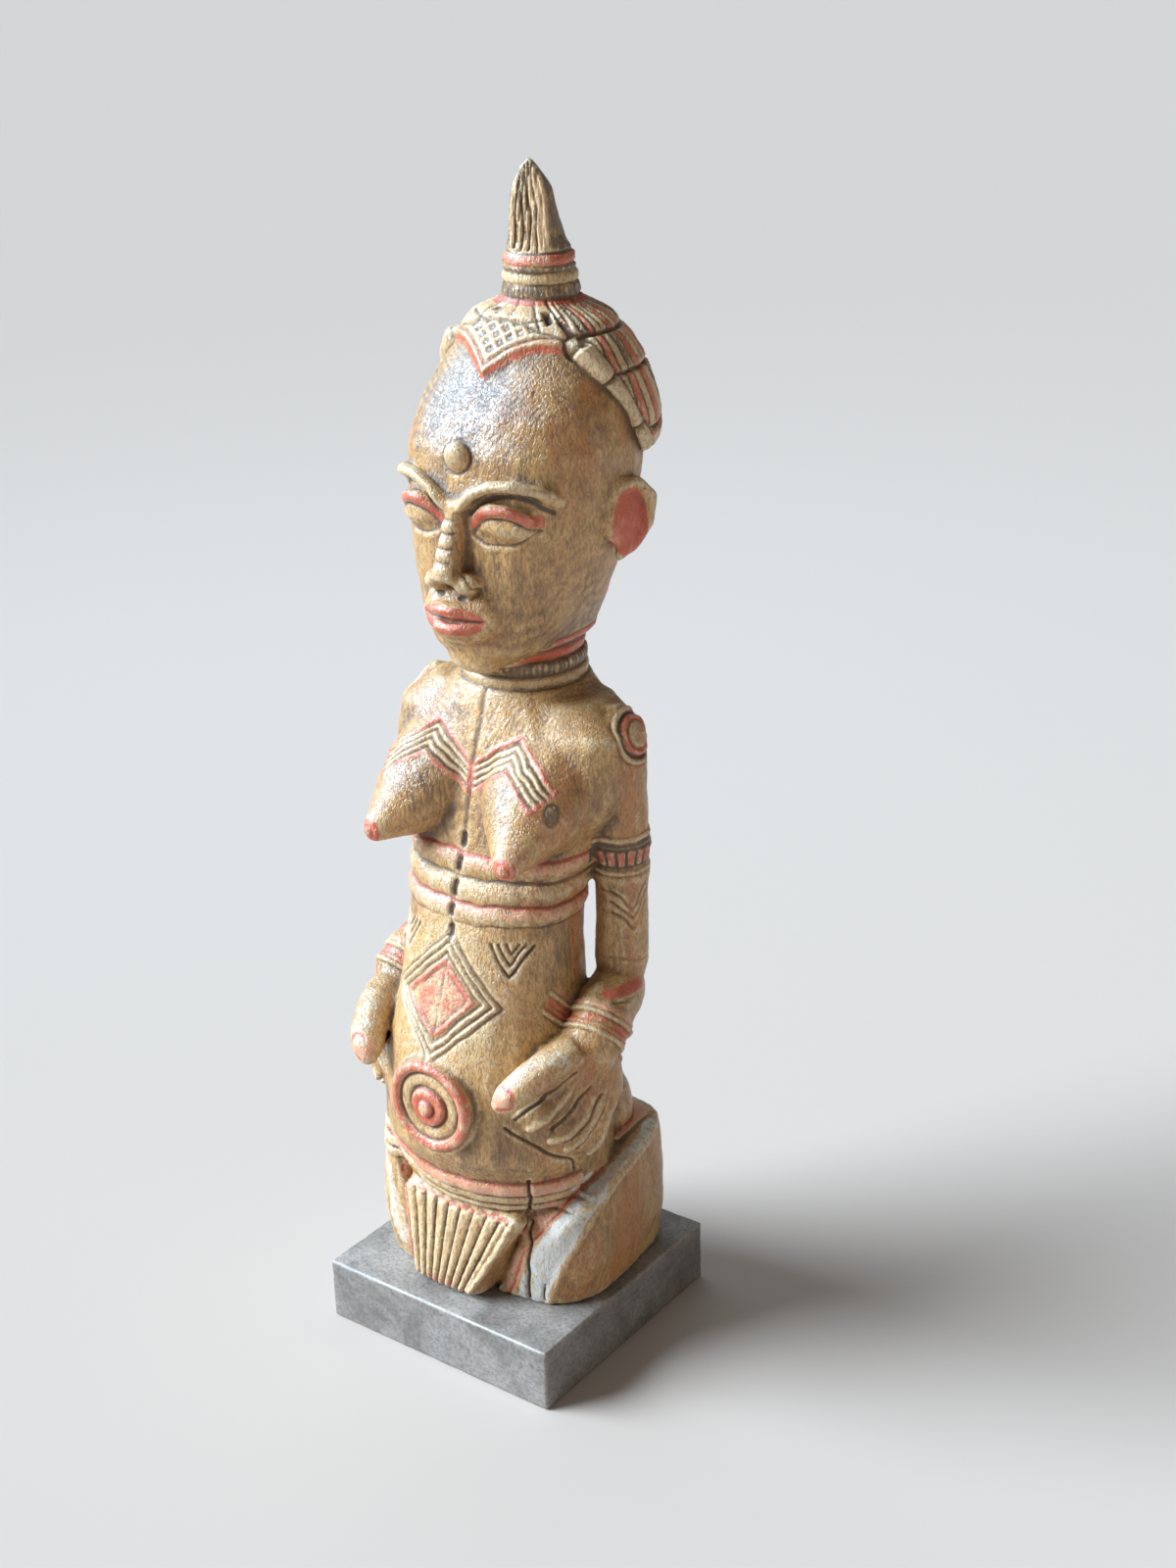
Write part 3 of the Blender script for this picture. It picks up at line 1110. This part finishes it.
def carved_wood(tools, look):
    """Rubbed ochre wood with brown patina and worn red, pink, cream and dark pigment."""
    material, sheet, sockets = painted("Carved Painted Wood", 0.8)
    place = sheet.add("ShaderNodeTexCoord", out=3)
    fibre = sheet.use(tools["fibre"], Vector=place, Ring_Width=0.0019)
    broad = sheet.noise(place, 26.0, 4.0, 0.55)
    specks = sheet.noise(sheet.mapped(place, (1, 1, 0.45)), 760.0, 3.0, 0.6)
    patches = sheet.noise(sheet.mapped(place, (1, 1, 0.4)), 120.0, 5.0, 0.65, 0.6)
    streaks = sheet.noise(sheet.mapped(place, (1, 1, 0.22)), 60.0, 4.0, 0.6)
    patina, hollow, sunken, worn = (sheet.attribute(name) for name in ("patina", "hollow", "sunken", "worn"))

    # wood: ochre to brown by patina, rings, fibres and specks
    brown = sheet.more(
        patina, (broad, 1.7, 0.5), (patches, 1.7, 0.5), (specks, 1.0, 0.5), (fibre["Rings"], 0.25, 0.5),
        (fibre["Fibre"], 1.0, 0.5), (hollow, 0.35, 0), (worn, -0.5, 0),
    )
    base = sheet.blend(sheet.span(brown, -0.5, 1.0), tuple(look.light), tuple(look.deep))
    aside = sheet.math("ABSOLUTE", sheet.parts(sheet.add("ShaderNodeNewGeometry", out=1))[0])
    heart = sheet.times(sheet.span(streaks, 0.46, 0.68), sheet.span(aside, 0.1, 0.95, 0.25, 1.0))
    base = sheet.blend(sheet.times(heart, 0.8), base, tuple(look.warm))
    rubbed = sheet.more(worn, (specks, 1.0, 0.5), (patina, -0.55, 0))
    base = sheet.blend(sheet.span(rubbed, 0.15, 1.0, 0.0, 0.75), base, tuple(look.bleached))
    pitted = sheet.times(sheet.math("SUBTRACT", 1.0, fibre["Pits"]), 0.42)
    base = sheet.blend(pitted, base, tuple(look.deep))

    # pigments, each chipped along its edge and rubbed on high places
    rub = sheet.more(worn, (hollow, -0.4, 0))
    holes = {"red": 0.28, "rose": 0.34, "cream": 0.40, "chalk": 0.36, "dark": 0.36, "raw": 0.1, "black": 0.1}
    masks = {}
    for name, share in holes.items():
        depth = sheet.attribute(name)
        masks[name] = sheet.use(tools["edge"], Vector=place, Depth=depth, Rub=rub, Holes=share)["Mask"]
    raw = sheet.blend(sheet.span(fibre["Fibre"], 0.42, 0.72, 0.0, 0.75), tuple(look.raw), tuple(look.deep))
    thin = sheet.more(sheet.noise(place, 150.0, 4.0, 0.6), (worn, 0.12, 0))
    red = sheet.blend(sheet.span(thin, 0.50, 0.9, 0.0, 0.8), tuple(look.red), tuple(look.rose))
    for name, strength, pigment in (
        ("raw", 1.0, raw), ("cream", 0.68, tuple(look.cream)), ("chalk", 0.82, tuple(look.chalk)),
        ("rose", 0.72, tuple(look.rose)), ("red", 0.9, red), ("dark", 0.8, tuple(look.dark)),
        ("black", 1.0, SHADOW),
    ):
        base = sheet.blend(sheet.times(masks[name], strength), base, pigment)

    # dirt in the grooves
    grime = sheet.more(hollow, (specks, 0.6, 0.5))
    base = sheet.blend(sheet.span(grime, 0.3, 1.1, 0.0, 0.55), base, GRIME)
    base = sheet.blend(sheet.span(sunken, 0.4, 1.5, 0.0, 0.35), base, OLD_GRIME)
    sheet.plug(sockets["Base Color"], base)

    # gloss: rubbed wood shines, grooves and raw wood do not
    gloss = sheet.more(
        sheet.span(patches, 0.35, 0.65, 0.30, 0.44), (hollow, 0.2, 0), (masks["raw"], 0.3, 0),
        (masks["cream"], 0.08, 0), (masks["red"], 0.04, 0), (patina, -0.07, 0),
    )
    sheet.plug(sockets["Roughness"], gloss)
    split = sheet.times(masks["raw"], sheet.times(fibre["Fibre"], 1.2))
    height = sheet.more(
        sheet.times(fibre["Pits"], 0.5), (fibre["Fibre"], 0.4, 0), (specks, 0.4, 0),
        (fibre["Rings"], 0.12, 0), (split, 1.0, 0),
    )
    sheet.plug(sockets["Normal"], sheet.add("ShaderNodeBump", Strength=0.75, Distance=0.0005, Height=height))
    return material


def black_block(tools, look, wood):
    """Satin black paint on wood, worn along the edges and grey with dust."""
    material, sheet, sockets = painted("Black Painted Wood", 0.7)
    place = sheet.add("ShaderNodeTexCoord", out=3)
    lying = sheet.mapped(place, (1, 1, 1), turn=(0, math.pi / 2, 0))
    fibre = sheet.use(tools["fibre"], Vector=lying, Ring_Width=0.003)
    dust = sheet.use(tools["dust"], Vector=place, Patch_Scale=42.0, Amount=1.0)["Mask"]
    mottle = sheet.noise(place, 55.0, 6.0, 0.65)
    fine = sheet.noise(place, 520.0, 4.0, 0.7)
    chips = sheet.more(sheet.times(sheet.attribute("worn"), 0.75), (fine, 1.3, 0.5))
    scratch = sheet.noise(sheet.mapped(place, (28.0, 28.0, 900.0), turn=(0.02, 0.03, 0)), 1.0, 3.0, 0.6)
    base = sheet.blend(dust, tuple(look.paint), tuple(look.dust))
    base = sheet.blend(sheet.span(scratch, 0.6, 0.75, 0.0, 0.35), base, tuple(look.dust))
    base = sheet.blend(sheet.times(sheet.span(chips, 0.4, 0.85), 0.18), base, tuple(wood.bleached))
    sheet.plug(sockets["Base Color"], base)
    sheet.plug(sockets["Roughness"], sheet.more(sheet.span(mottle, 0.3, 0.7, 0.24, 0.50), (dust, 0.22, 0)))
    height = sheet.more(sheet.times(fibre["Fibre"], 0.7), (fine, 0.4, 0))
    sheet.plug(sockets["Normal"], sheet.add("ShaderNodeBump", Strength=0.35, Distance=0.0004, Height=height))
    return material


def shared_groups():
    """The node groups that both materials use, each made once."""
    builders = {
        "edge": ("Brushed Edge", brushed_edge), "fibre": ("Wood Fibre", wood_fibre),
        "dust": ("Settled Dust", settled_dust),
    }
    return {key: bpy.data.node_groups.get(name) or build(name) for key, (name, build) in builders.items()}


# ---------------------------------------------------------------- operators


class FIGURE_OT_carve(Operator):
    """Carve and paint the figure over its CAD body"""

    bl_idname = "figure.carve"
    bl_label = "Carve Figure"

    def execute(self, context):
        settings = context.scene.carving
        rough = bmesh.new()
        rough.from_mesh(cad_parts["figure"].data)
        bmesh.ops.remove_doubles(rough, verts=rough.verts, dist=WELD * MM)
        mesh = bpy.data.meshes.new("figure_body")
        rough.to_mesh(mesh)
        rough.free()
        cell = settings.cell * 1
        mesh = modified(mesh, "REMESH", mode="VOXEL", voxel_size=cell, adaptivity=0.0)
        ends = pulled(mesh.edges, "vertices", 2, int).T
        edge = cell / MM
        points = relaxed(coordinates(mesh), ends, BODY_REACH / edge)
        placed(mesh, points)
        share = filled_share(points)[:, None]
        for _ in range(settings.fill_rounds):
            way = facing(mesh)
            valley = ((relaxed(points, ends, VALLEY_REACH / edge) - points) * way).sum(1)
            points = points + way * np.maximum(valley, 0)[:, None] * share
            points += (relaxed(points, ends, FILL_REACH / edge) - points) * share
            placed(mesh, points)
        normals = facing(mesh)
        faces = pulled(mesh.loops, "vertex_index", 1, int).reshape(-1, 4)
        throw = Throw(BVHTree.FromPolygons(points.tolist(), faces.tolist()))

        skin = Skin(points)
        for ornament in ORNAMENT:
            ornament(skin, throw)
        lift = (skin.raised - skin.sunk) * settings.relief
        ripple = uneven(points, 11.0) + 0.7 * uneven(points + 50, 4.5)
        ripple += 0.55 * uneven(points * (1, 1, 0.5), 1.8)
        lift += ripple * settings.ripple / MM * (skin.sunk < 0.2)
        carved = points + normals * lift[:, None]
        carved[:, 2] = np.maximum(carved[:, 2], points[:, 2].min())
        carved = relaxed(carved, ends, CARVED_REACH / edge)
        near = ((relaxed(carved, ends, NEAR_REACH / edge) - carved) * normals).sum(1)
        broad = ((relaxed(carved, ends, BROAD_REACH / edge) - carved) * normals).sum(1)
        placed(mesh, carved)

        count = len(mesh.polygons) * 2
        ratio = min(1.0, settings.triangles / count)
        skinned = modified(
            mesh, "DECIMATE", decimate_type="COLLAPSE", ratio=ratio, use_collapse_triangulate=True
        )
        lookup = KDTree(len(carved))
        for number, point in enumerate(carved.tolist()):
            lookup.insert(point, number)
        lookup.balance()
        final = coordinates(skinned)
        found = [lookup.find_n(point, NEIGHBOURS) for point in final.tolist()]
        numbers = np.array([[number for _, number, _ in row] for row in found])
        gaps = np.array([[gap for _, _, gap in row] for row in found])
        weight = 1 / (gaps**2 + 0.01)
        weight /= weight.sum(1)[:, None]

        def carried(values):
            return (values[numbers] * (weight if values.ndim == 1 else weight[:, :, None])).sum(1)

        coat = Skin(carried(points))
        for ornament in ORNAMENT:
            ornament(coat, throw)
        shade(coat)
        for name, values in coat.paint.items():
            write(skinned, name, values)
        write(skinned, "patina", coat.patina)
        write(skinned, "hollow", np.clip(carried(near) * 3.2 + carried(broad) * 0.9, 0, 1.5))
        write(skinned, "worn", np.clip(-carried(near) * 3.5 - carried(broad) * 0.5, 0, 1.2))
        write(skinned, "sunken", coat.sunk)
        material = carved_wood(shared_groups(), context.scene.wood)
        finished(skinned, "carved_figure", "figure", material)
        return {"FINISHED"}


# in millimetres: the width and depth of the block's dents, how far from an edge they begin, how far its paint
# is worn from an edge, and the length from which an edge is cut into many
DENT_WIDTH = 5.0
DENT_DEPTH = 0.8
DENT_EDGE = 3.0
WORN_EDGE = 3.2
LONG_EDGE = 20
EDGE_CUTS = 31


class FIGURE_OT_block(Operator):
    """Make the black block that the figure stands on"""

    bl_idname = "figure.block"
    bl_label = "Make Block"

    def execute(self, context):
        settings = context.scene.block
        low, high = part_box("base_block")
        size = high - low
        shape = bmesh.new()
        bmesh.ops.create_cube(shape, size=1.0)
        bmesh.ops.scale(shape, vec=size, verts=shape.verts)
        bmesh.ops.translate(shape, vec=(low + high) / 2, verts=shape.verts)
        bmesh.ops.bevel(
            shape, geom=shape.edges[:], offset=settings.edge, offset_type="OFFSET", segments=3, profile=0.5,
            affect="EDGES", material=-1,
        )
        long_edges = [edge for edge in shape.edges if edge.calc_length() > LONG_EDGE * MM]
        bmesh.ops.subdivide_edges(shape, edges=long_edges, cuts=EDGE_CUTS, use_grid_fill=True)
        bmesh.ops.recalc_face_normals(shape, faces=shape.faces)
        mesh = bpy.data.meshes.new("stand_block")
        shape.to_mesh(mesh)
        shape.free()
        points = coordinates(mesh)
        box = np.array([low, high]) / MM
        near_edge = np.sort(np.minimum(points - box[0], box[1] - points), axis=1)[:, 1]
        dents = np.clip(uneven(points, DENT_WIDTH) - 0.15, 0, 1) * eased(near_edge / DENT_EDGE)
        points = points - facing(mesh) * (dents * DENT_DEPTH)[:, None]
        placed(mesh, np.clip(points, box[0], box[1]))
        write(mesh, "worn", eased(near_edge / WORN_EDGE))
        material = black_block(shared_groups(), settings, context.scene.wood)
        finished(mesh, "stand_block", "base_block", material)
        return {"FINISHED"}


# where the camera stands, its turn, pitch and roll in degrees, and the width of its sensor in millimetres;
# then where the lamps aim, their distance and size, and how wide a sun looks in degrees
CAMERA_PLACE = (0.5448, -0.6699, 0.6175)
CAMERA_ANGLES = (36.707, 22.974, -1.365)
SENSOR = 36.0
TARGET = Vector((0, 0, 0.25))
LAMP_DISTANCE = 1.3
LAMP_SIZE = 1.2
SUN_WIDTH = 40


class FIGURE_OT_stage(Operator):
    """Set the floor, the soft lights and the camera"""

    bl_idname = "figure.stage"
    bl_label = "Set Stage"

    def execute(self, context):
        scene, settings = context.scene, context.scene.stage
        shape = bmesh.new()
        bmesh.ops.create_grid(shape, x_segments=1, y_segments=1, size=40.0)
        mesh = bpy.data.meshes.new("floor")
        shape.to_mesh(mesh)
        shape.free()
        plain, _, sockets = painted("Plain Floor", 0.0)
        sockets["Base Color"].default_value = tuple(settings.floor)
        sockets["Roughness"].default_value = 0.9
        mesh.materials.append(plain)
        floor = bpy.data.objects.new("floor", mesh)
        scene.collection.objects.link(floor)

        for name, kind, way, power, tint in (
            ("window_light", "SUN", (-0.68, -0.52, 0.52), settings.window, (0.78, 0.89, 1.0)),
            ("sheen_light", "SUN", (-0.76, -0.28, 0.59), settings.sheen, (0.42, 0.74, 1.0)),
            ("sky_light", "AREA", (-0.50, 0.35, 0.80), settings.sky, (0.72, 0.88, 1.0)),
            ("fill_light", "AREA", (0.90, -0.35, 0.30), settings.fill, (1.0, 0.80, 0.62)),
        ):
            lamp = bpy.data.lights.new(name, kind)
            lamp.energy = power
            lamp.color = tint
            if kind == "SUN":
                lamp.angle = math.radians(SUN_WIDTH)
            else:
                lamp.size = LAMP_SIZE
            light = bpy.data.objects.new(name, lamp)
            way = Vector(way).normalized()
            turned = way.to_track_quat("Z", "Y").to_matrix().to_4x4()
            light.matrix_world = Matrix.Translation(TARGET + way * LAMP_DISTANCE) @ turned
            light.visible_diffuse = name != "sheen_light"
            scene.collection.objects.link(light)
        scene.view_settings.view_transform = "Standard"
        world = bpy.data.worlds.new("Studio")
        world.use_nodes = True
        air = Sheet(world.node_tree)
        seen = air.add("ShaderNodeLightPath", out=0)
        pale = air.blend(seen, (0.115, 0.11, 0.105, 1), (0.60, 0.61, 0.61, 1))
        air.plug(world.node_tree.nodes["Background"].inputs["Color"], pale)
        scene.world = world

        turn, pitch, roll = (math.radians(angle) for angle in CAMERA_ANGLES)
        level = math.cos(pitch)
        ahead = Vector((-math.sin(turn) * level, math.cos(turn) * level, -math.sin(pitch)))
        across = Vector((math.cos(turn), math.sin(turn), 0))
        upward = across.cross(ahead)
        right = across * math.cos(roll) + upward * math.sin(roll)
        up = upward * math.cos(roll) - across * math.sin(roll)
        lens = bpy.data.cameras.new("camera")
        lens.lens = settings.lens
        lens.sensor_width = SENSOR
        lens.clip_start = 0.05
        camera = bpy.data.objects.new("camera", lens)
        turned = Matrix((right, up, -ahead)).transposed().to_4x4()
        camera.matrix_world = Matrix.Translation(CAMERA_PLACE) @ turned
        scene.collection.objects.link(camera)
        scene.camera = camera
        return {"FINISHED"}


class FIGURE_PT_panel(Panel):
    """Buttons for the pieces and the stage, with their settings"""

    bl_idname = "FIGURE_PT_panel"
    bl_label = "Carved Figure"
    bl_space_type = "VIEW_3D"
    bl_region_type = "UI"
    bl_category = "Figure"

    def draw(self, context):
        scene = context.scene
        for operator, settings in (
            ("figure.carve", (scene.carving, scene.wood)),
            ("figure.block", (scene.block,)),
            ("figure.stage", (scene.stage,)),
        ):
            part = self.layout.box()
            part.operator(operator)
            for each in settings:
                for name in each.bl_rna.properties.keys():
                    if name not in ("rna_type", "name"):
                        part.prop(each, name)


SETTINGS = {"carving": CarvingSettings, "wood": WoodSettings, "block": BlockSettings, "stage": StageSettings}
CLASSES = (*SETTINGS.values(), FIGURE_OT_carve, FIGURE_OT_block, FIGURE_OT_stage, FIGURE_PT_panel)


def register():
    for each in CLASSES:
        bpy.utils.register_class(each)
    for name, each in SETTINGS.items():
        setattr(bpy.types.Scene, name, PointerProperty(type=each))


def unregister():
    for name in SETTINGS:
        delattr(bpy.types.Scene, name)
    for each in reversed(CLASSES):
        bpy.utils.unregister_class(each)


def main():
    register()
    bpy.ops.figure.carve()
    bpy.ops.figure.block()
    bpy.ops.figure.stage()


if __name__ == "__main__":
    main()
